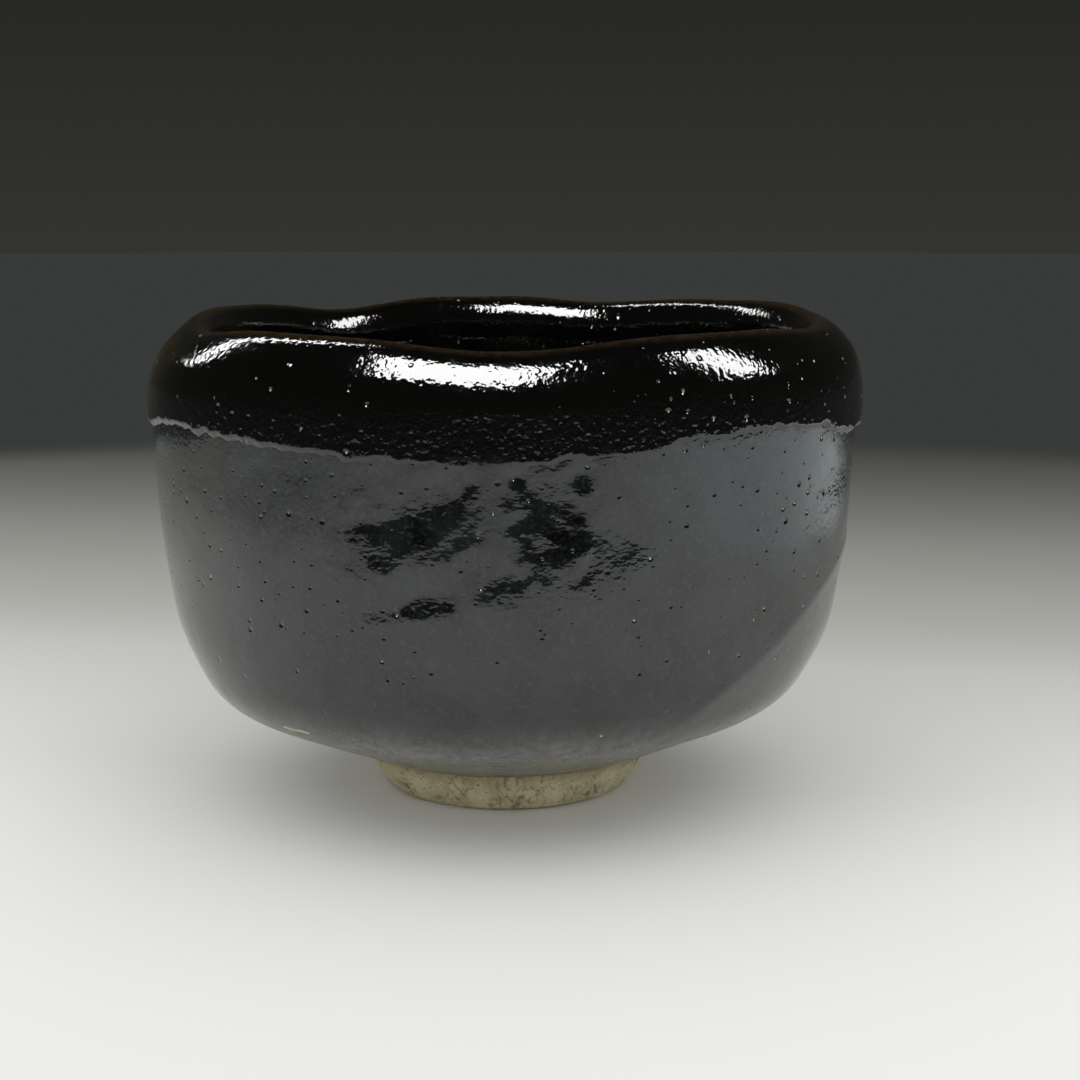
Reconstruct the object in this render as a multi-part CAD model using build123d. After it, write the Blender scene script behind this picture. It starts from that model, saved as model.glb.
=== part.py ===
from build123d import *
import os
from math import ceil, cos, exp, radians, sin

# A hand-built black tea bowl. Millimetres, +Z up, origin in the middle of the
# foot's underside, where the bowl stands. Azimuth 0 is the bowl's front (-Y) and
# 90 its right (+X). The clay is one pinched wall on a luted foot ring. It carries
# an outer glaze, an inner glaze and a thick curtain of glaze hung from the lip.

# ---- Driving dimensions ------------------------------------------------------
lip_height = 80.1          # finished lip crest, mean of its waves
wall_radius = 57.2         # finished, at the middle of the wall
band_swell = 0.4           # at the front, the curtain band stands out by this
waist_depth = 0.2          # how far the waist under the band is pinched in
hip_setback = 5.6          # the hip corner stands in from the wall by this
hip_height = 18.6          # the hip corner above the table
lower_wall_rise = 10.6     # from the hip corner up to the upright wall

wall_thickness = 5.0       # clay alone
floor_thickness = 5.8      # clay over the foot
lip_width = 6.2            # clay across the rolled lip
lip_curl = 1.8             # how far the lip curls in from the band
well_radius = 19.0         # nearly level tea well in the middle of the inside

foot_height = 7.3
foot_base_radius = 21.0    # outside, where the ring stands
foot_top_radius = 24.6     # outside, where it meets the clay body
foot_bore_radius = 15.4
foot_edge_round = 0.8
boss_height = 2.6          # low boss of the clay body in the foot's bore
boss_clearance = 0.4       # between the boss and the bore at the joint

glaze_thickness = 0.6
curtain_thickness = 0.8    # extra glaze on the band, at the sides
curtain_front_thickness = 0.3   # and at the front and back
curtain_lip_thickness = 0.3
curtain_drop = 17.0        # from the lip down to the curtain's hanging edge
curtain_inside_drop = 7.0  # from the lip down to its edge inside
curtain_taper = 2.4        # half the height over which its edges thin out
bare_clay_gap = 0.6        # between the outer glaze's edge and the foot joint
glaze_edge_depth = 3.0     # height over the joint to which the glaze is wiped off

facet_azimuth = 95.0       # middle of the facet pared on the right of the wall
facet_rise = 27.0          # from the hip corner up to the facet's top
facet_spread = 70.0        # degrees to each side at which it runs out at the hip
facet_lean = 0.09          # how much further in than the wall it leans, per mm down

points_per_loop = 36
seam_azimuth = 180         # where each loop starts and ends
station_pitch = 5.0        # greatest distance between stations on the profile

# The lip's hills and hollows: azimuth, rise over the mean lip.
LIP_WAVES = [(0, -1.7), (28, 0.3), (45, 0.4), (66, -0.4), (90, 0.2), (114, 1.4),
             (138, 0.9), (160, -0.2), (180, 0.8), (196, 0.7), (217, -1.1),
             (240, 0.8), (258, 1.2), (292, -0.9), (316, 0.3), (332, 0.1)]

# Marks of the maker's hands: azimuth, height above the hip, spread round the
# wall in degrees, spread up it in mm, depth in mm (below zero is a swelling).
HAND_MARKS = [(-90, 61, 40, 6, 2.3), (-90, 45, 55, 26, -1.9), (90, 50, 55, 22, -1.8),
              (90, 62, 45, 6, 0.6), (-100, 4, 40, 8, 1.3), (-90, 14, 40, 8, 0.6),
              (-62, 18, 16, 14, 0.6), (150, 30, 30, 12, 0.8), (205, 16, 28, 14, 0.7)]


def lip_rise(azimuth):
    """Height of the lip's wave at an azimuth, eased between hills and hollows."""
    azimuth = azimuth % 360
    waves = LIP_WAVES + [(360 + LIP_WAVES[0][0], LIP_WAVES[0][1])]
    for (start, low), (end, high) in zip(waves, waves[1:]):
        if start <= azimuth <= end:
            ease = (1 - cos(radians(180 * (azimuth - start) / (end - start)))) / 2
            return low + (high - low) * ease


def ramp(value, start, end):
    """0 below start, 1 above end, eased between them."""
    share = min(max((value - start) / (end - start), 0), 1)
    return share * share * (3 - 2 * share)


def hand_mark(azimuth, height):
    """Depth of the pared facet and of the maker's hand marks at one place."""
    turn = (azimuth - facet_azimuth + 180) % 360 - 180
    facet_edge = hip_height + facet_rise * (1 - (turn / facet_spread) ** 2)
    depth = facet_lean * max(facet_edge - height, 0)
    for centre, above_hip, spread, rise, deep in HAND_MARKS:
        turn = (azimuth - centre + 180) % 360 - 180
        climb = height - hip_height - above_hip
        depth += deep * exp(-(turn / spread) ** 2 - (climb / rise) ** 2)
    return depth * ramp(height, foot_height + 1, hip_height)


def loop(radius, height, outward=(0, 0), coat=None):
    """Closed hand-shaped loop round the bowl, moved outward by a coat's thickness."""
    points = []
    for step in range(points_per_loop):
        azimuth = seam_azimuth + 360 * step / points_per_loop
        rise = lip_rise(azimuth) * ramp(height, hip_height, lip_height)
        thickness = coat(azimuth, height, outward) if coat else 0
        r = radius - hand_mark(azimuth, height) + outward[0] * thickness
        z = height + rise + outward[1] * thickness
        points.append((r * sin(radians(azimuth)), -r * cos(radians(azimuth)), z))
    turns = [step / points_per_loop for step in range(points_per_loop + 1)]
    return Wire([Edge.make_spline(points, periodic=True, parameters=turns)])


# ---- Profile of the clay, from the foot joint over the lip to the well ---------
clay_wall = wall_radius - glaze_thickness
clay_band = wall_radius + band_swell - glaze_thickness - curtain_front_thickness
clay_lip = lip_height - glaze_thickness - curtain_lip_thickness
clay_inside = clay_wall - wall_thickness
lip_middle = clay_band - lip_curl - lip_width / 2
curtain_edge = lip_height - curtain_drop
band_middle = (curtain_edge + clay_lip - 4.4) / 2
inside_hip_height = hip_height + floor_thickness
inside_floor = foot_height + floor_thickness

# Each corner: radius, height, round.
PROFILE = [(foot_top_radius, foot_height, 0),
           (clay_wall - hip_setback, hip_height, 4.5),
           (clay_wall - 0.6, hip_height + lower_wall_rise, 16),
           (clay_wall, (hip_height + curtain_edge) / 2 + 4, 40),
           (clay_wall - waist_depth, curtain_edge - 4, 40),
           (clay_band, band_middle, 9),
           (clay_band - 0.9, clay_lip - 4.4, 5),
           (lip_middle + 1.0, clay_lip, 2.2),
           (lip_middle - 1.4, clay_lip, 1.6),
           (lip_middle - lip_width / 2, clay_lip - 3.4, 2.4),
           (lip_middle - lip_width / 2 + 0.4, curtain_edge + 4, 30),
           (clay_inside - 0.8, curtain_edge - 8, 40),
           (clay_inside - 1.4, inside_hip_height + 8, 9),
           (clay_inside - 8.5, inside_hip_height - 2, 12),
           (well_radius, inside_floor + 0.6, 12),
           (well_radius / 2, inside_floor, 0)]

profile = FilletPolyline(*[(r, 0, z) for r, z, _ in PROFILE],
                         radius=[corner for _, _, corner in PROFILE[1:-1]])


def find_stations():
    """Places along the profile: radius, height and outward direction."""
    places = []
    for edge in profile.edges():
        pieces = ceil(edge.length / station_pitch)
        for piece in range(pieces):
            places.append((edge, piece / pieces))
    places.append((profile.edges()[-1], 1))
    found = []
    for edge, share in places:
        point = edge.position_at(share)
        along = edge.tangent_at(share)
        found.append((point.X, point.Z, (along.Z, -along.X)))
    return found


STATIONS = find_stations()


def even_coat(azimuth, height, outward):
    return glaze_thickness


def curtain_coat(azimuth, height, outward):
    """Glaze and curtain; past the curtain's edges this lies under the glaze."""
    drop = curtain_drop if outward[0] > 0 else curtain_inside_drop
    edge = lip_height - drop + 0.6 * lip_rise(azimuth + 140)
    hung = ramp(height, edge - curtain_taper, edge + curtain_taper)
    on_lip = ramp(height, clay_lip - 6, clay_lip) if outward[0] > 0 else 1
    at_side = sin(radians(azimuth)) ** 2
    band = curtain_front_thickness
    band += (curtain_thickness - curtain_front_thickness) * at_side
    full = band + (curtain_lip_thickness - band) * on_lip
    return glaze_thickness + full * hung - 0.6 * glaze_thickness * (1 - hung)


def under_coat(coat=None, places=STATIONS):
    """Solid whose skin lies on the clay or on a coat of glaze."""
    return Solid.make_loft([loop(r, z, out, coat) for r, z, out in places])


# ---- Clay body: the pinched wall and floor, and the boss under it ---------------
clay_form = under_coat()
boss = Pos(0, 0, foot_height) * Cone(
    foot_bore_radius - boss_clearance, foot_bore_radius - boss_clearance - 6,
    boss_height, rotation=(180, 0, 0), align=(Align.CENTER, Align.CENTER, Align.MIN))
clay_body = clay_form + boss


# ---- Foot ring: luted under the body, pared outside, bored inside ---------------
def foot_loop(radius, height):
    points = []
    for step in range(points_per_loop):
        azimuth = 360 * step / points_per_loop
        wave = 0.35 * sin(radians(2 * azimuth + 40)) + 0.2 * sin(radians(5 * azimuth))
        r = radius + wave * (1 - height / foot_height)
        points.append((r * sin(radians(azimuth)), -r * cos(radians(azimuth)), height))
    turns = [step / points_per_loop for step in range(points_per_loop + 1)]
    return Wire([Edge.make_spline(points, periodic=True, parameters=turns)])


foot_slope = (foot_top_radius - foot_base_radius) / foot_height
foot_block = Solid.make_loft([
    foot_loop(foot_base_radius - foot_edge_round, 0),
    foot_loop(foot_base_radius, foot_edge_round),
    foot_loop(foot_base_radius + foot_slope * foot_height / 2, foot_height / 2),
    foot_loop(foot_top_radius, foot_height)])
foot_bore = Cylinder(foot_bore_radius, foot_height,
                     align=(Align.CENTER, Align.CENTER, Align.MIN))
foot_mouth = Cone(foot_bore_radius + foot_edge_round, foot_bore_radius,
                  foot_edge_round, align=(Align.CENTER, Align.CENTER, Align.MIN))
foot_ring = foot_block - foot_bore - foot_mouth

# ---- Glaze: one coat outside and one inside, which meet on the lip's crest ------
glazed_form = under_coat(even_coat)
glaze = glazed_form - clay_form
foot_clearing = Cylinder(foot_top_radius + bare_clay_gap,
                         2 * (foot_height + glaze_edge_depth))

crest = lip_middle - 0.2
middle_of_wall = wall_thickness / 2
inside_places = [(well_radius, foot_height + floor_thickness / 2),
                 (clay_inside - 8.5 + middle_of_wall, inside_hip_height - 4),
                 (clay_inside - 1.4 + middle_of_wall, inside_hip_height + 6),
                 (clay_inside + middle_of_wall, curtain_edge - 8),
                 (crest, clay_lip - 4),
                 (crest, clay_lip + 8)]
inside_region = Solid.make_loft([loop(r, z) for r, z in inside_places], ruled=True)
outer_glaze = glaze - inside_region - foot_clearing
inner_glaze = glaze & inside_region

# ---- Glaze curtain: the second coat, hung from the lip and down the band --------
lowest = curtain_edge - 3 * curtain_taper
hung_places = [place for place in STATIONS if place[1] > lowest]
curtain_form = under_coat(curtain_coat, hung_places)
curtain_scraps = (curtain_form - glazed_form).solids()
glaze_curtain = curtain_scraps.sort_by(Axis.Z)[-1]

NODES = {"clay_body": clay_body, "foot_ring": foot_ring,
         "outer_glaze": outer_glaze, "inner_glaze": inner_glaze,
         "glaze_curtain": glaze_curtain}

os.makedirs("parts", exist_ok=True)
for name, shape in NODES.items():
    print(name, [round(solid.volume) for solid in shape.solids()], shape.is_valid)
    export_step(shape, f"parts/{name}.step")
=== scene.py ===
import bpy
from math import atan2, cos, degrees, exp, radians, sin
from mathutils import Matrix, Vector, noise
from mathutils.bvhtree import BVHTree


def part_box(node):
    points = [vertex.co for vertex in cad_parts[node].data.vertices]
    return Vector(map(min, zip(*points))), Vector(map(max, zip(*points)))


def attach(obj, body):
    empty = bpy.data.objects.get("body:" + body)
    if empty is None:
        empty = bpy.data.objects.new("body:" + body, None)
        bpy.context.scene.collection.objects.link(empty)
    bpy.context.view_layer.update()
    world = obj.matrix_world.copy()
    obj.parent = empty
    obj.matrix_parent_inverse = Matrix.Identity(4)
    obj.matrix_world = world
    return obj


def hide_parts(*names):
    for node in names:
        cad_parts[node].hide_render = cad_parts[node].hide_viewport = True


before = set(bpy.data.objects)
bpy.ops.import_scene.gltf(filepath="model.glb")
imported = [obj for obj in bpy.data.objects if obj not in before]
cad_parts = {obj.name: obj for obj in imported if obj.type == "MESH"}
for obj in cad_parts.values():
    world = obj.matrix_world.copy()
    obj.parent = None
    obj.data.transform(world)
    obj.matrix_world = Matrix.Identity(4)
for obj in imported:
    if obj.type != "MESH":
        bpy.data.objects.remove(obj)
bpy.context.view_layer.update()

mm = 0.001

# ---- Stage: a pale sheet on a dark table, in a dark room ------------------------
# The sheet ends about 45 cm from the bowl. The glaze mirrors it below its band and
# the dark room in the band itself.
camera_data = bpy.data.cameras.new("camera")
camera_data.lens = 65
camera_data.sensor_width = 36
camera = bpy.data.objects.new("camera", camera_data)
camera.location = (0, -330 * mm, 100.8 * mm)
camera.rotation_euler = (radians(90 - 10.15), 0, radians(-1.0))
bpy.context.collection.objects.link(camera)
bpy.context.scene.camera = camera
bpy.context.scene.view_settings.view_transform = "Standard"

room = bpy.data.worlds.new("soft_dome")
room.use_nodes = True
room.node_tree.nodes["Background"].inputs["Color"].default_value = (1, 1, 0.985, 1)
room.node_tree.nodes["Background"].inputs["Strength"].default_value = 1.1
room.cycles_visibility.camera = False
room.cycles_visibility.glossy = False
bpy.context.scene.world = room


def ramp(tree, stops, interpolation="LINEAR"):
    """A colour ramp node with stops of a place and a grey or a colour."""
    node = tree.nodes.new("ShaderNodeValToRGB")
    node.color_ramp.interpolation = interpolation
    while len(node.color_ramp.elements) < len(stops):
        node.color_ramp.elements.new(0.5)
    for element, (place, tone) in zip(node.color_ramp.elements, stops):
        element.position = place
        element.color = (*tone, 1) if isinstance(tone, tuple) else (tone, tone, tone, 1)
    return node


def maths(tree, operation, *values):
    """A math node, each of whose inputs is a number or another node's output."""
    node = tree.nodes.new("ShaderNodeMath")
    node.operation = operation
    for socket, value in zip(node.inputs, values):
        if isinstance(value, bpy.types.NodeSocket):
            tree.links.new(value, socket)
        else:
            socket.default_value = value
    return node.outputs[0]


bpy.ops.object.select_all(action="DESELECT")
bpy.ops.mesh.primitive_circle_add(vertices=128, radius=3, fill_type="NGON")
floor = bpy.context.object
floor.name = "floor"
paper = bpy.data.materials.new("pale_sheet")
paper.use_nodes = True
tree = paper.node_tree
place = tree.nodes.new("ShaderNodeTexCoord")
across = tree.nodes.new("ShaderNodeSeparateXYZ")
distance = tree.nodes.new("ShaderNodeVectorMath")
distance.operation = "LENGTH"
tree.links.new(place.outputs["Object"], across.inputs["Vector"])
tree.links.new(place.outputs["Object"], distance.inputs[0])
# Painted shade: the sheet's tone falls off behind the bowl and far in front of it.
behind = maths(tree, "MULTIPLY_ADD", across.outputs["X"], 0.17, across.outputs["Y"])
behind_share = maths(tree, "MULTIPLY_ADD", behind, 1 / (950 * mm), 0.474)
painted_falloff = ramp(tree, [(0.0, (0.46, 0.46, 0.45)), (0.14, (0.58, 0.58, 0.57)),
                      (0.30, (0.82, 0.82, 0.81)), (0.42, (0.86, 0.86, 0.85)),
                      (0.474, (0.75, 0.75, 0.735)), (0.568, (0.48, 0.48, 0.465)),
                      (0.62, (0.36, 0.36, 0.34)), (0.684, (0.28, 0.28, 0.265)),
                      (0.779, (0.155, 0.157, 0.145)), (0.895, (0.072, 0.073, 0.066)),
                      (1.0, (0.038, 0.039, 0.033))], "B_SPLINE")
tree.links.new(behind_share, painted_falloff.inputs["Fac"])


def eased_between(tree, value, start, end):
    """Map range from 0 at start to 1 at end, eased."""
    node = tree.nodes.new("ShaderNodeMapRange")
    node.interpolation_type = "SMOOTHSTEP"
    node.inputs["From Min"].default_value = start
    node.inputs["From Max"].default_value = end
    tree.links.new(value, node.inputs["Value"])
    return node.outputs["Result"]


def blend(tree, share, first, second):
    """Mixes two colours, each a tuple or another node's output."""
    node = tree.nodes.new("ShaderNodeMix")
    node.data_type = "RGBA"
    tree.links.new(share, node.inputs["Factor"])
    for name, colour in (("A", first), ("B", second)):
        if isinstance(colour, tuple):
            node.inputs[name].default_value = (*colour, 1)
        else:
            tree.links.new(colour, node.inputs[name])
    return node.outputs["Result"]


# Painted light: the sheet is brighter and bluer on the right near the bowl.
near = maths(tree, "SUBTRACT", 1.0, eased_between(tree, across.outputs["Y"], 0.15, 0.30))
lit_right = eased_between(tree, across.outputs["X"], 0.17, 0.30)
# Painted shade: the sheet is darker to the left.
dim_left = maths(tree, "MULTIPLY", eased_between(tree, across.outputs["X"], -0.18, -0.40), 0.6)
tone = blend(tree, maths(tree, "MULTIPLY", lit_right, near), painted_falloff.outputs["Color"],
             (0.90, 0.97, 1.0))
tone = blend(tree, dim_left, tone, (0.22, 0.23, 0.21))
beyond = eased_between(tree, distance.outputs["Value"], 430 * mm, 500 * mm)
tone = blend(tree, beyond, tone, (0.036, 0.039, 0.038))
tree.links.new(tone, tree.nodes["Principled BSDF"].inputs["Base Color"])
tree.nodes["Principled BSDF"].inputs["Roughness"].default_value = 0.95
tree.nodes["Principled BSDF"].inputs["Specular IOR Level"].default_value = 0
floor.data.materials.append(paper)

bpy.ops.mesh.primitive_uv_sphere_add(segments=48, ring_count=24, radius=3.2)
backdrop = bpy.context.object
backdrop.name = "backdrop"
backdrop.visible_diffuse = backdrop.visible_shadow = False
dark = bpy.data.materials.new("dark_room")
dark.use_nodes = True
tree = dark.node_tree
place = tree.nodes.new("ShaderNodeTexCoord")
across = tree.nodes.new("ShaderNodeSeparateXYZ")
tree.links.new(place.outputs["Object"], across.inputs["Vector"])
rise = maths(tree, "MULTIPLY_ADD", across.outputs["Z"], 1 / 6.4, 0.5)
dim = ramp(tree, [(0.5, (0.034, 0.035, 0.030)), (0.56, (0.022, 0.023, 0.018)), (1.0, 0.012)])
tree.links.new(rise, dim.inputs["Fac"])
tree.nodes.remove(tree.nodes["Principled BSDF"])
glow = tree.nodes.new("ShaderNodeEmission")
tree.links.new(dim.outputs["Color"], glow.inputs["Color"])
tree.links.new(glow.outputs["Emission"], tree.nodes["Material Output"].inputs["Surface"])
backdrop.data.materials.append(dark)


def softbox(name, place, aim, size, power, colour=(1, 1, 1), mirrored=True):
    """An area light that is either mirrored in the glaze or lights the scene."""
    data = bpy.data.lights.new(name, "AREA")
    data.shape = "RECTANGLE"
    data.size, data.size_y = size
    data.energy = power
    data.color = colour
    lamp = bpy.data.objects.new(name, data)
    lamp.location = place
    toward = Vector(aim) - Vector(place)
    lamp.rotation_euler = toward.to_track_quat("-Z", "Y").to_euler()
    lamp.visible_glossy = mirrored
    lamp.visible_diffuse = not mirrored
    lamp.visible_camera = False
    bpy.context.collection.objects.link(lamp)


softbox("window", (-0.15, -0.45, 0.72), (0, 0, 0.075), (0.50, 0.40), 9.0)
softbox("side_window", (0.78, -0.13, 0.62), (0, 0, 0.075), (0.26, 0.60), 6.0)
softbox("left_strip", (-0.50, 0.45, 0.68), (0, 0, 0.075), (0.08, 0.85), 2.4)

# ---- Foot ring: bare buff clay, luted under the body and pared with a knife --------
# The clay has a coarse tooth, fine upright cracks and a worn, chipped standing edge.
foot_sides = 120
foot_low, foot_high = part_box("foot_ring")
foot_top = foot_high.z / mm
foot_places = [(15.0, foot_top), (15.2, 5.0), (15.3, 2.8), (15.5, 1.2), (16.0, 0.35),
               (16.9, 0.02), (18.4, 0.0), (20.0, 0.0), (20.9, 0.25), (21.5, 0.9),
               (22.2, 2.2), (23.0, 3.7), (23.8, 5.2), (24.4, 6.3), (24.7, 6.9),
               (24.8, 7.2), (24.4, foot_top), (22.6, foot_top), (18.5, foot_top)]


def draw_up(name, sides, places):
    """A wall drawn up from a ring through places, each a radius and a height in mm."""
    radius, height = places[0]
    bpy.ops.object.select_all(action="DESELECT")
    bpy.ops.mesh.primitive_circle_add(vertices=sides, radius=radius * mm,
                                      location=(0, 0, height * mm))
    bpy.ops.object.transform_apply(location=True)
    piece = bpy.context.object
    piece.name = piece.data.name = name
    bpy.ops.object.mode_set(mode="EDIT")
    bpy.ops.mesh.select_all(action="SELECT")
    for (radius, height), (wider, higher) in zip(places, places[1:]):
        rise = (0, 0, (higher - height) * mm)
        bpy.ops.mesh.extrude_region_move(TRANSFORM_OT_translate={"value": rise})
        bpy.ops.transform.resize(value=(wider / radius, wider / radius, 1),
                                 center_override=(0, 0, higher * mm))
    bpy.ops.object.mode_set(mode="OBJECT")
    return piece


def close_ring(piece):
    """Bridges the first and last ring, so that the wall closes on itself."""
    bpy.context.view_layer.objects.active = piece
    bpy.ops.object.mode_set(mode="EDIT")
    bpy.ops.mesh.select_mode(type="EDGE")
    bpy.ops.mesh.select_all(action="DESELECT")
    bpy.ops.mesh.select_non_manifold()
    bpy.ops.mesh.bridge_edge_loops()
    bpy.ops.mesh.select_all(action="SELECT")
    bpy.ops.mesh.normals_make_consistent(inside=False)
    bpy.ops.object.mode_set(mode="OBJECT")


def modify(piece, kind, **settings):
    """One modifier, set and applied."""
    bpy.context.view_layer.objects.active = piece
    modifier = piece.modifiers.new(kind.lower(), kind)
    for name, value in settings.items():
        setattr(modifier, name, value)
    bpy.ops.object.modifier_apply(modifier=modifier.name)


def straight_out(place):
    """The level direction away from the bowl's axis."""
    return Vector((place.x, place.y, 0)).normalized()


def work_surface(piece, depth_at, outward=straight_out):
    """Moves every point outward by depth_at(place), places and depths in mm."""
    for vertex in piece.data.vertices:
        place = vertex.co / mm
        vertex.co += outward(place) * (depth_at(place) * mm)
    piece.data.update()


def paint(piece, name, masks_at):
    """Stores three masks of every point, worked out from its place in mm."""
    layer = piece.data.color_attributes.new(name, "FLOAT_COLOR", "POINT")
    for vertex, item in zip(piece.data.vertices, layer.data):
        item.color = (*masks_at(vertex.co / mm), 1)


def azimuth_of(place):
    """Degrees round the bowl from its front, 90 on its right."""
    return degrees(atan2(place.x, -place.y))


def ease(value, start, end):
    """0 at start, 1 at end, eased between them."""
    share = min(max((value - start) / (end - start), 0), 1)
    return share * share * (3 - 2 * share)


def crack_at(place):
    """1 in the middle of a fine upright crack of the foot's clay, else 0."""
    upright = Vector((place.x / 1.6, place.y / 1.6, place.z / 6))
    upright += 0.35 * noise.noise_vector(place / 2.2)
    near, far = noise.voronoi(upright)[0][:2]
    return exp(-((far - near) / 0.06) ** 2) * ease(noise.noise(place / 5), -0.35, 0.3)


def clay_tooth(place):
    """Lumps, grains and cracks of the foot's clay."""
    inside = 0.3 if place.x ** 2 + place.y ** 2 < 17 ** 2 else 1
    lumps = 0.26 * noise.noise(place / 5) + 0.14 * noise.noise(place / 1.8)
    tooth = 0.06 * noise.noise(place / 0.6)
    worn = ease(place.z, foot_top, foot_top - 0.5)
    return inside * worn * (lumps + tooth - 0.22 * crack_at(place))


foot = draw_up("foot_ring_clay", foot_sides, foot_places)
close_ring(foot)
modify(foot, "SUBSURF", levels=2, render_levels=2)
work_surface(foot, clay_tooth)
for vertex in foot.data.vertices:
    chip = 0.35 * max(noise.noise(vertex.co / (4 * mm)) - 0.15, 0)
    low = ease(vertex.co.z / mm, 1.0, 0)
    vertex.co.z = max(vertex.co.z + chip * low * mm, 0)
# The second mask is painted shade: the top of the foot darker under the body.
paint(foot, "cracks_and_shade", lambda place: (crack_at(place), ease(place.z, 4.6, 7.0), 0))
bpy.ops.object.shade_smooth()
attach(foot, "root")
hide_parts("foot_ring")


def place_in_mm(tree):
    """The piece's own coordinates, in mm."""
    place = tree.nodes.new("ShaderNodeTexCoord")
    scaled = tree.nodes.new("ShaderNodeVectorMath")
    scaled.operation = "SCALE"
    scaled.inputs["Scale"].default_value = 1 / mm
    tree.links.new(place.outputs["Object"], scaled.inputs[0])
    return scaled.outputs["Vector"]


def grain(tree, place, size, detail=2.0, stretch=None):
    """Noise whose lumps are about size mm across."""
    if stretch:
        bent = tree.nodes.new("ShaderNodeVectorMath")
        bent.operation = "MULTIPLY"
        bent.inputs[1].default_value = stretch
        tree.links.new(place, bent.inputs[0])
        place = bent.outputs["Vector"]
    node = tree.nodes.new("ShaderNodeTexNoise")
    node.inputs["Scale"].default_value = 1 / size
    node.inputs["Detail"].default_value = detail
    tree.links.new(place, node.inputs["Vector"])
    return node.outputs["Fac"]


def masks(tree, name):
    """The three masks that paint() stored."""
    stored = tree.nodes.new("ShaderNodeAttribute")
    stored.attribute_name = name
    parts = tree.nodes.new("ShaderNodeSeparateColor")
    tree.links.new(stored.outputs["Color"], parts.inputs["Color"])
    return parts.outputs["Red"], parts.outputs["Green"], parts.outputs["Blue"]


clay = bpy.data.materials.new("buff_clay")
clay.use_nodes = True
tree = clay.node_tree
place = place_in_mm(tree)
crack, shade_under_body, _ = masks(tree, "cracks_and_shade")
cloudy = ramp(tree, [(0.35, 0.0), (0.65, 1.0)])
tree.links.new(grain(tree, place, 4.0, 4.0), cloudy.inputs["Fac"])
body_tone = blend(tree, cloudy.outputs["Color"], (0.37, 0.33, 0.195), (0.50, 0.455, 0.30))
iron = ramp(tree, [(0.66, 0.0), (0.72, 1.0)])
tree.links.new(grain(tree, place, 0.5, 1.0), iron.inputs["Fac"])
body_tone = blend(tree, iron.outputs["Color"], body_tone, (0.20, 0.145, 0.08))
white = ramp(tree, [(0.70, 0.0), (0.75, 1.0)])
tree.links.new(grain(tree, place, 0.35, 0.0), white.inputs["Fac"])
body_tone = blend(tree, white.outputs["Color"], body_tone, (0.60, 0.56, 0.42))
# Painted shade: the foot's top is browner and darker under the body.
body_tone = blend(tree, maths(tree, "MULTIPLY", shade_under_body, 0.55), body_tone, (0.20, 0.14, 0.07))
body_tone = blend(tree, maths(tree, "MULTIPLY", crack, 0.8), body_tone, (0.09, 0.07, 0.04))
shader = tree.nodes["Principled BSDF"]
tree.links.new(body_tone, shader.inputs["Base Color"])
shader.inputs["Roughness"].default_value = 0.92
tooth = maths(tree, "ADD", maths(tree, "MULTIPLY", grain(tree, place, 0.45, 3.0), 0.10),
              maths(tree, "MULTIPLY", iron.outputs["Color"], -0.03))
bump = tree.nodes.new("ShaderNodeBump")
bump.inputs["Distance"].default_value = mm
tree.links.new(tooth, bump.inputs["Height"])
tree.links.new(bump.outputs["Normal"], shader.inputs["Normal"])
foot.data.materials.append(clay)

# ---- Clay body: the pinched bowl itself, of the same buff clay ---------------------
# It shows inside the foot ring and as a thin bare line between the foot and the glaze.
body_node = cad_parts["clay_body"]
for slot in body_node.material_slots:
    slot.material = clay

# ---- Outer glaze: the first coat of black, from the foot to under the curtain ------
# A thin fired coat. It took on the hand-worked wall: creases of the pared facet, low
# ledges left by the fingers, and the pull of the glaze over them.
glaze_sides = 160
outer_face = [(25.3, 7.2), (25.7, 7.5), (26.6, 7.9), (29.0, 8.8), (32.5, 10.4),
              (36.0, 12.0), (39.5, 13.6), (43.0, 15.2), (46.0, 16.7), (48.6, 18.3),
              (50.8, 20.2), (52.6, 22.4), (54.0, 25.0), (55.2, 28.0)]
outer_face += [(56.0, 30.6 + 2.6 * step) for step in range(16)]
outer_back = [(55.0, 67.0), (55.0, 52.0), (55.0, 38.0), (53.5, 26.0), (50.0, 19.5),
              (43.0, 15.4), (34.0, 11.2), (27.0, 8.2)]
coat_depth = 0.5


def packed(name):
    """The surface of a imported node, to lay a piece on."""
    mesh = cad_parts[name].data
    return BVHTree.FromPolygons([vertex.co for vertex in mesh.vertices],
                                [face.vertices for face in mesh.polygons])


packed_outer, packed_inner = packed("outer_glaze"), packed("inner_glaze")
packed_curtain = packed("glaze_curtain")


def met(start, direction, surfaces, reach=25):
    """The outermost point that packed surfaces have on the way out from start."""
    far = start + reach * mm * direction
    best = None
    for surface in surfaces:
        place = surface.ray_cast(far, -direction, reach * mm)[0]
        if place and (best is None or (place - start).length > (best - start).length):
            best = place
    return best


def lay_outer(piece):
    """Lays the face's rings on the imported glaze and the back's a coat's depth below."""
    for index, vertex in enumerate(piece.data.vertices):
        depth = 0 if index < glaze_sides * len(outer_face) else coat_depth
        out = straight_out(vertex.co)
        if vertex.co.z < 20 * mm:
            out = (out * 0.42 - Vector((0, 0, 0.91))).normalized()
            start = vertex.co - out * 4 * mm
        else:
            start = out * 46 * mm + Vector((0, 0, vertex.co.z))
        place = met(start, out, [packed_outer])
        if place:
            vertex.co = place - out * depth * mm


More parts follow.
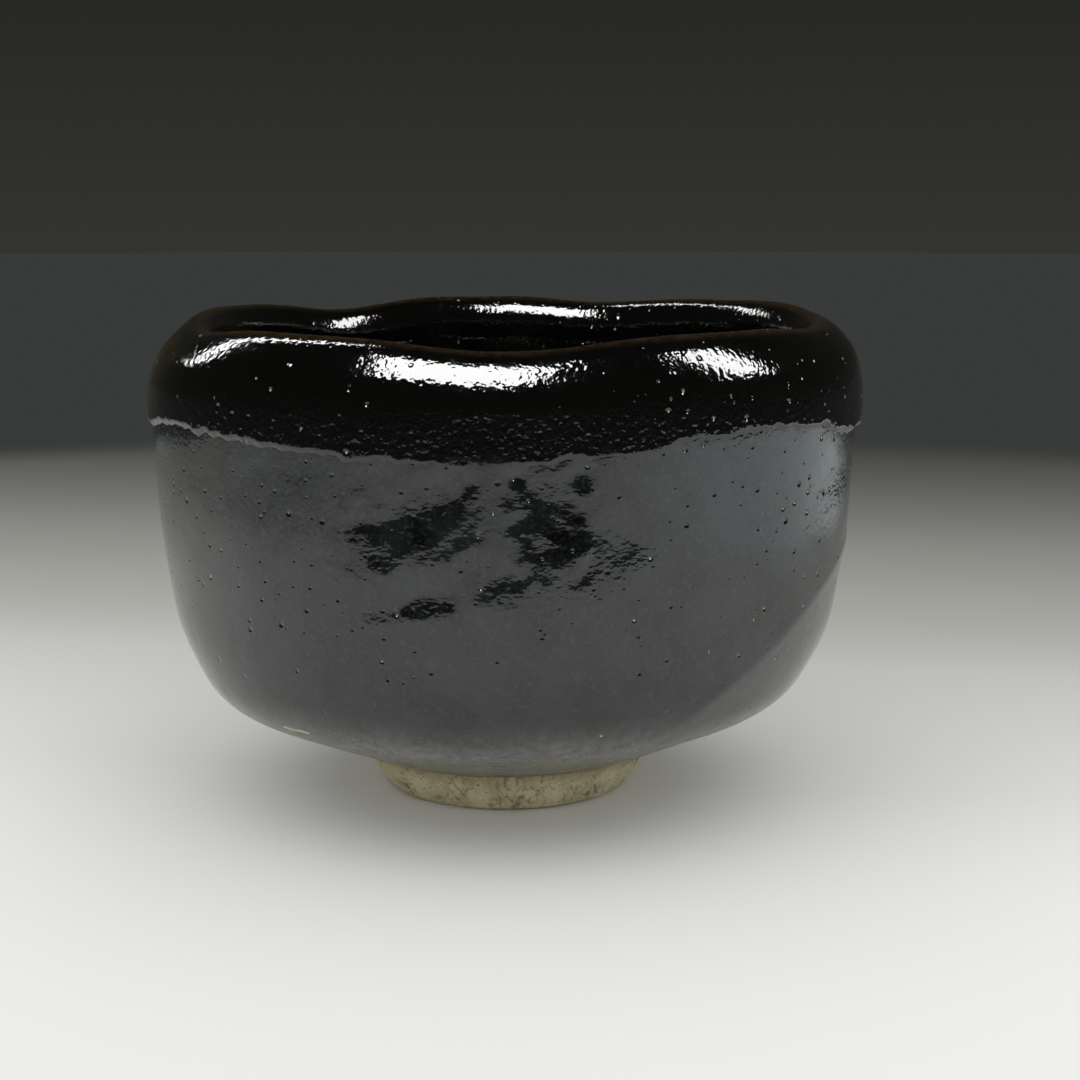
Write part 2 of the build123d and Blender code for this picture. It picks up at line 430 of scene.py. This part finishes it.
# Ledges of the wall: azimuth and height of the middle, half width in degrees, half
# height, how steeply the ledge leans back, and how it climbs in mm to a degree.
wall_ledges = [(-13.5, 51.9, 7.4, 4.5, 0.130, 0.34), (6.6, 51.4, 4.6, 8.6, 0.130, 0.0),
               (-11.2, 41.6, 3.6, 2.3, 0.165, 0.0), (-17.5, 40.2, 5.0, 1.5, 0.160, 0.12),
               (0.5, 44.2, 5.0, 2.6, 0.110, 0.10), (15.5, 48.6, 5.2, 3.4, 0.070, -0.1),
               (8.5, 44.0, 5.0, 2.0, 0.100, 0.0), (63.0, 53.0, 7.0, 3.4, 0.050, 0.1)]


def ledge_share(place, ledge):
    """How far place is over a ledge in half heights, and how near its middle it is."""
    middle, height, spread, rise, _, climb = ledge
    turn = azimuth_of(place) - middle
    level = (place.z - height - climb * turn) / rise
    return level, (turn / spread) ** 2


def facet_edge(azimuth):
    """Height of the pared facet's upper edge, on the bowl's right."""
    return 18.6 + 27 * (1 - ((azimuth - 95) / 70) ** 2)


# How far the curtain ran: azimuth, height of its lower edge.
curtain_reach = [(-180, 63.0), (-130, 61.8), (-85, 63.2), (-62, 65.2), (-45, 64.8),
                 (-31, 63.9), (-20, 62.9), (0, 62.5), (10, 63.0), (22, 64.1),
                 (30, 65.8), (42, 66.0), (55, 65.2), (66, 63.4), (85, 63.4),
                 (130, 64.6), (180, 63.0)]


def edge_at(azimuth):
    """Height of the curtain's lower edge at any azimuth, before its teeth."""
    for (start, low), (end, high) in zip(curtain_reach, curtain_reach[1:]):
        if azimuth <= end:
            return low + (high - low) * ease(azimuth, start, end)
    return curtain_reach[-1][1]


def wall_shape(place):
    """How the worked wall stands out from a smooth one, in mm."""
    azimuth = azimuth_of(place)
    front = max(cos(radians(azimuth)), 0) ** 2
    covered = ease(place.z, edge_at(azimuth) + 0.8, edge_at(azimuth) + 3)
    depth = front * 0.018 * (min(max(place.z, 46), 62) - 46) * (1 - covered)
    depth -= 0.35 * covered
    ragged = None
    for ledge in wall_ledges:
        level, aside = ledge_share(place, ledge)
        if aside < 6 and abs(level) < 5:
            ragged = ragged or noise.noise_vector(place / 2.6)
            level += 0.35 * ragged.x
            aside = max(aside + 0.7 * ragged.y, 0)
            depth -= ledge[4] * ledge[3] * level * exp((-level * level - aside * aside) / 2)
    edge = facet_edge(azimuth) - place.z
    if -6 < edge < 40:
        depth += 0.20 * exp(-(edge / 1.8) ** 2) * ease(place.z, 16, 22)
    depth += 0.10 * noise.noise(place / 13) + 0.035 * noise.noise(place / 4.5)
    return min(depth + 0.012 * noise.noise(place / 2.4), 0.42)


def glaze_masks(place):
    """Rippling, browning and milkiness of the glaze, the milkiness partly painted reflection
    and sheen.
    """
    ripple = 0
    for ledge in wall_ledges:
        level, aside = ledge_share(place, ledge)
        if aside < 6 and abs(level) < 4:
            ripple = max(ripple, exp(-(level / 1.5) ** 2 - aside / 1.8))
    # Milkier low on the wall: partly a matt thin glaze, partly a painted reflection of the
    # floor.
    milk_and_sheen = ease(place.z, 25, 14) * (0.95 + 0.5 * noise.noise(place / 8))
    edge = facet_edge(azimuth_of(place)) - place.z
    # Painted sheen: the pared facet is paler just below its edge.
    if edge > 0:
        milk_and_sheen = max(milk_and_sheen, 0.25 * ease(edge, 0, 2.5) * ease(edge, 14, 4))
    return ripple, 0.8 * ease(place.z, 9.4, 8.0), min(milk_and_sheen, 1)


outer = draw_up("outer_glaze_coat", glaze_sides, outer_face + outer_back)
lay_outer(outer)
close_ring(outer)
modify(outer, "SMOOTH", factor=0.5, iterations=3)
modify(outer, "SUBSURF", levels=2, render_levels=2)
work_surface(outer, wall_shape)
paint(outer, "coat", glaze_masks)
bpy.ops.object.shade_smooth()
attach(outer, "root")
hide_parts("outer_glaze")


def glaze_surface():
    """Group: peel, ripples, pits, grit, milk and brown (partly painted sheen) of the glaze."""
    group = bpy.data.node_groups.new("fired_glaze", "ShaderNodeTree")
    for name in ("Ripple", "Brown", "MilkAndSheen", "Peel", "Haze"):
        group.interface.new_socket(name, in_out="INPUT", socket_type="NodeSocketFloat")
    group.interface.new_socket("Color", in_out="OUTPUT", socket_type="NodeSocketColor")
    group.interface.new_socket("Roughness", in_out="OUTPUT", socket_type="NodeSocketFloat")
    group.interface.new_socket("Height", in_out="OUTPUT", socket_type="NodeSocketFloat")
    given = group.nodes.new("NodeGroupInput")
    made = group.nodes.new("NodeGroupOutput")
    place = place_in_mm(group)

    peel = maths(group, "MULTIPLY", grain(group, place, 2.4, 1.0), 0.030)
    peel = maths(group, "MULTIPLY_ADD", grain(group, place, 0.8, 1.0), 0.035, peel)
    peel = maths(group, "MULTIPLY", peel, given.outputs["Peel"])
    choppy = grain(group, place, 0.85, 1.5, stretch=(0.7, 0.7, 1.1))
    choppy = maths(group, "MULTIPLY", choppy, 0.09)
    rippled = maths(group, "MULTIPLY", choppy, given.outputs["Ripple"])

    def dots(spacing, radius, chance):
        """Soft round spots, in the given share of the cells of a scattered grid."""
        cells = group.nodes.new("ShaderNodeTexVoronoi")
        cells.inputs["Scale"].default_value = 1 / spacing
        group.links.new(place, cells.inputs["Vector"])
        apart = group.nodes.new("ShaderNodeSeparateColor")
        group.links.new(cells.outputs["Color"], apart.inputs["Color"])
        spread = maths(group, "MULTIPLY_ADD", apart.outputs["Green"], 0.7, 0.5)
        near = maths(group, "DIVIDE", cells.outputs["Distance"], spread)
        inside = maths(group, "SUBTRACT", 1.0, maths(group, "DIVIDE", near,
                                                     radius / spacing))
        inside = maths(group, "MAXIMUM", inside, 0.0)
        chosen = maths(group, "LESS_THAN", apart.outputs["Red"], chance)
        return maths(group, "MULTIPLY", inside, chosen)

    pit = dots(2.3, 0.50, 0.50)
    bubble = dots(1.5, 0.34, 0.26)
    grit = maths(group, "MULTIPLY", dots(2.3, 0.21, 0.20), 3.0)
    grit = maths(group, "MINIMUM", grit, 1.0)

    pitted = maths(group, "MULTIPLY", pit, -0.19)
    bubbled = maths(group, "MULTIPLY_ADD", bubble, -0.06, pitted)
    height = maths(group, "ADD", maths(group, "ADD", peel, rippled), bubbled)
    height = maths(group, "MULTIPLY_ADD", grit, 0.02, height)
    group.links.new(height, made.inputs["Height"])

    mottle = ramp(group, [(0.38, 0.0), (0.62, 1.0)])
    group.links.new(grain(group, place, 7.0, 5.0), mottle.inputs["Fac"])
    hazy = maths(group, "MULTIPLY", mottle.outputs["Color"], given.outputs["Haze"])
    tone = blend(group, hazy, (0.0013, 0.0013, 0.001), (0.0065, 0.0105, 0.0095))
    speckle = ramp(group, [(0.52, 0.0), (0.72, 1.0)])
    group.links.new(grain(group, place, 0.7, 3.0), speckle.inputs["Fac"])
    hazy = maths(group, "MULTIPLY", speckle.outputs["Color"], given.outputs["Haze"])
    tone = blend(group, hazy, tone, (0.017, 0.023, 0.0215))
    # The milk mask paints a pale tone: partly matt glaze, partly painted reflection and sheen.
    milky_sheen = maths(group, "MULTIPLY", grain(group, place, 1.6, 4.0), 1.9)
    milky_sheen = maths(group, "MULTIPLY", milky_sheen, given.outputs["MilkAndSheen"])
    tone = blend(group, milky_sheen, tone, (0.150, 0.150, 0.142))
    streaky_brown = ramp(group, [(0.35, 0.25), (0.6, 1.0)])
    group.links.new(grain(group, place, 1.2, 3.0, stretch=(1.0, 1.0, 0.25)),
                    streaky_brown.inputs["Fac"])
    # The brown mask paints fired brown and, on the band's left, a painted reflection.
    brown = maths(group, "MULTIPLY", streaky_brown.outputs["Color"], given.outputs["Brown"])
    tone = blend(group, brown, tone, (0.105, 0.055, 0.014))
    tone = blend(group, grit, tone, (0.42, 0.38, 0.29))
    group.links.new(tone, made.inputs["Color"])

    matt = maths(group, "MULTIPLY_ADD", grain(group, place, 2.2, 4.0), 0.16, 0.0)
    matt = maths(group, "MULTIPLY_ADD", given.outputs["MilkAndSheen"], 0.22, matt)
    matt = maths(group, "MULTIPLY_ADD", grit, 0.4, matt)
    group.links.new(matt, made.inputs["Roughness"])
    return group


fired_glaze = glaze_surface()


def glaze_material(name, peel, haze):
    """Black glaze whose masks come from the piece's own painted ones."""
    material = bpy.data.materials.new(name)
    material.use_nodes = True
    tree = material.node_tree
    surface = tree.nodes.new("ShaderNodeGroup")
    surface.node_tree = fired_glaze
    for name, mask in zip(("Ripple", "Brown", "MilkAndSheen"), masks(tree, "coat")):
        tree.links.new(mask, surface.inputs[name])
    surface.inputs["Peel"].default_value = peel
    surface.inputs["Haze"].default_value = haze
    shader = tree.nodes["Principled BSDF"]
    shader.inputs["IOR"].default_value = 1.7
    tree.links.new(surface.outputs["Color"], shader.inputs["Base Color"])
    tree.links.new(surface.outputs["Roughness"], shader.inputs["Roughness"])
    bump = tree.nodes.new("ShaderNodeBump")
    bump.inputs["Distance"].default_value = mm
    tree.links.new(surface.outputs["Height"], bump.inputs["Height"])
    tree.links.new(bump.outputs["Normal"], shader.inputs["Normal"])
    return material


outer.data.materials.append(glaze_material("black_glaze_wall", 0.55, 1.0))

# ---- Glaze curtain: the second, thick coat, poured over the lip and hung from it ---
# It runs down the band outside and a little way down the inside. Its lower edge is
# thick and ragged where it stopped flowing, and it is burnt brown where it ran thin.
curtain_sides = 175


def crest_heights(step=4):
    """The lip's height in mm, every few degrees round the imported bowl."""
    highest = [0] * (360 // step)
    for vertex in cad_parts["glaze_curtain"].data.vertices:
        turn = round(azimuth_of(vertex.co) / step) % len(highest)
        highest[turn] = max(highest[turn], vertex.co.z / mm)
    count = len(highest)
    return [sum(highest[(turn + near) % count] for near in (-1, 0, 1)) / 3
            for turn in range(count)]


crests = crest_heights()
lip_mean = sum(crests) / len(crests)


def crest_at(azimuth):
    """Height of the lip at any azimuth, in mm."""
    turn = (azimuth % 360) / 360 * len(crests)
    before, share = int(turn) % len(crests), turn % 1
    return crests[before] * (1 - share) + crests[(before + 1) % len(crests)] * share


# Rings of the curtain, as lines out from a spine inside the lip: "out" and "in" are
# heights on the band outside and inside, "over" is an angle over the crest.
spine_radius = 52.6
spine_drop = 5.0
curtain_face = [("out", height) for height in (-21.5, -20, -18.8, -17.6, -16.4, -15.2,
                                               -14, -12.4, -10.6, -8.8, -7.4, -6.2)]
curtain_face += [("over", angle) for angle in range(0, 181, 15)]
curtain_face += [("in", height) for height in (-6.8, -8.6, -10.6)]
curtain_back = [("in", -9.6), ("over", 180), ("over", 120), ("over", 60), ("over", 0),
                ("out", -12.0), ("out", -19.0)]
curtain_rings = curtain_face + curtain_back


def spine_line(place, ring):
    """Where a ring's line starts, and its direction."""
    way, amount = ring
    out = straight_out(place)
    crest = crest_at(azimuth_of(place))
    spine = out * spine_radius * mm
    if way == "over":
        turn = radians(amount)
        spine.z = (crest - spine_drop) * mm
        return spine, out * cos(turn) + Vector((0, 0, sin(turn)))
    spine.z = (crest + amount if amount > -10 else lip_mean + amount) * mm
    return spine, out if way == "out" else -out


def lay_curtain(piece):
    """Lays the face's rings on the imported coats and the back's a little below them."""
    coats = [packed_curtain, packed_outer, packed_inner]
    for index, vertex in enumerate(piece.data.vertices):
        ring = index // curtain_sides
        spine, direction = spine_line(vertex.co, curtain_rings[ring])
        place = met(spine, direction, coats)
        if place is None:
            continue
        depth = 0 if ring < len(curtain_face) else 0.9
        way, amount = curtain_rings[ring]
        azimuth = azimuth_of(vertex.co)
        inset = 0.18 * max(cos(radians(azimuth)), 0) ** 2 * mm
        if way == "out":
            place -= direction * inset * ease(amount, -6.2, -10.6)
        if way == "out" and amount < -10.5:
            full = spine.copy()
            full.z = (lip_mean - 10.6) * mm
            upright = 1 - 0.6 * ease(abs(azimuth), 60, 95)
            swell = (met(full, direction, coats) - full).length
            swell += 0.035 * (-10.6 - amount) * mm - inset
            length = (place - spine).length
            place = spine + direction * (length + (swell - length) * upright)
        vertex.co = place - direction * depth * mm


def from_spine(place):
    """The direction away from the spine inside the lip."""
    out = straight_out(place)
    spine = out * spine_radius
    spine.z = min(place.z, crest_at(azimuth_of(place)) - spine_drop)
    return (place - spine).normalized()


def curtain_skin(place):
    """Waves of the poured coat, and its edges drawn down to the glaze under it."""
    azimuth = azimuth_of(place)
    radius = Vector((place.x, place.y, 0)).length
    waves = 0.08 * noise.noise(place / 12) + 0.025 * noise.noise(place / 4.5)
    waves += 0.010 * noise.noise(place / 2.2)
    teeth = 0.55 * noise.noise(place / 6.5) + 0.55 * noise.noise(place / 2.4)
    teeth += 0.3 * noise.noise(place / 1.1)
    if radius < spine_radius:
        edge = crest_at(azimuth) - 8.2 + teeth
        return waves - 0.7 * ease(place.z, edge, edge - 1.6)
    share = ease(place.z, edge_at(azimuth) + teeth + 0.5, edge_at(azimuth) + teeth - 0.9)
    if share == 0 or place.z > 70:
        return waves
    out = straight_out(place)
    start = out * 46 * mm + Vector((0, 0, place.z * mm))
    under = met(start, out, [packed_outer])
    below = Vector((under.x, under.y, 0)).length / mm + wall_shape(place) - 0.35
    return waves + (min(below, radius) - waves - radius) * share


def curtain_masks(place):
    """Rippling, browning and milkiness of the curtain, the brown streaks on its left a painted
    reflection.
    """
    azimuth = azimuth_of(place)
    thin = ease(place.z, crest_at(azimuth) - 1.2, crest_at(azimuth) - 0.1)
    left = ease(azimuth, -62, -84) if azimuth > -95 else ease(azimuth, -118, -95)
    # Painted reflection: upright brown streaks on the left of the band.
    left_glint = left * ease(place.z, 60, 66) * ease(place.z, 79, 75)
    return 0, min(0.3 * thin + 0.42 * left_glint, 1), 0


curtain = draw_up("glaze_curtain_coat", curtain_sides,
                  [(60 - 0.1 * ring, 60 + ring) for ring in range(len(curtain_rings))])
lay_curtain(curtain)
close_ring(curtain)
modify(curtain, "SMOOTH", factor=0.5, iterations=3)
modify(curtain, "SUBSURF", levels=2, render_levels=2)
work_surface(curtain, curtain_skin, from_spine)
paint(curtain, "coat", curtain_masks)
bpy.ops.object.shade_smooth()
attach(curtain, "root")
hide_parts("glaze_curtain")
curtain.data.materials.append(glaze_material("black_glaze_band", 2.2, 0.04))

# ---- Inner glaze: the coat inside, over the wall and down into the tea well --------
# Thin and even, over the finger marks of the pinched wall.
inner_sides = 150
inner_face = [36, 32, 28, 22, 16, 10, 4, -2, -8, -14, -20, -25, -29, -33, -37, -41,
              -45, -50, -55, -60, -65, -70, -75, -80, -84.5, -88]
inner_back = [34, 26, 10, -8, -24, -36, -48, -62, -76, -86]
inner_rings = inner_face[::-1] + inner_back
hollow_middle = Vector((0, 0, 42))


def lay_inner(piece):
    """Lays the face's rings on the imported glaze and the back's a coat's depth below."""
    for index, vertex in enumerate(piece.data.vertices):
        ring = index // inner_sides
        climb = radians(inner_rings[ring])
        depth = 0 if ring < len(inner_face) else coat_depth
        direction = straight_out(vertex.co) * cos(climb) + Vector((0, 0, sin(climb)))
        place = packed_inner.ray_cast(hollow_middle * mm, direction)[0]
        if place:
            vertex.co = place + direction * depth * mm


def close_poles(piece, sides):
    """Draws the first and the last ring together, each into one point."""
    bpy.context.view_layer.objects.active = piece
    count = len(piece.data.vertices)
    ends = (list(piece.data.vertices)[:sides], list(piece.data.vertices)[count - sides:])
    for ring in ends:
        middle = sum((vertex.co for vertex in ring), Vector()) / sides
        for vertex in ring:
            vertex.co = middle
    bpy.ops.object.mode_set(mode="EDIT")
    bpy.ops.mesh.select_all(action="SELECT")
    bpy.ops.mesh.remove_doubles(threshold=0.01 * mm)
    bpy.ops.mesh.normals_make_consistent(inside=False)
    bpy.ops.object.mode_set(mode="OBJECT")


def from_hollow(place):
    """The direction away from the middle of the hollow."""
    return (place - hollow_middle).normalized()


def finger_marks(place):
    """Low rings and dimples where the fingers pinched the wall from inside."""
    rings = 0.12 * sin(place.z / 2.4 + 3 * noise.noise(place / 20)) * ease(place.z, 20, 30)
    marks = rings + 0.22 * noise.noise(place / 12) + 0.03 * noise.noise(place / 3)
    return min(marks, 0.05) * ease(place.z, 76, 66) - 0.2


inner = draw_up("inner_glaze_coat", inner_sides,
                [(20 + ring, 20 + ring) for ring in range(len(inner_rings))])
lay_inner(inner)
close_poles(inner, inner_sides)
modify(inner, "SMOOTH", factor=0.5, iterations=3)
modify(inner, "SUBSURF", levels=2, render_levels=2)
work_surface(inner, finger_marks, from_hollow)
paint(inner, "coat", lambda place: (0, 0, 0))
bpy.ops.object.shade_smooth()
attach(inner, "root")
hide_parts("inner_glaze")
inner.data.materials.append(glaze_material("black_glaze_hollow", 1.2, 0.04))
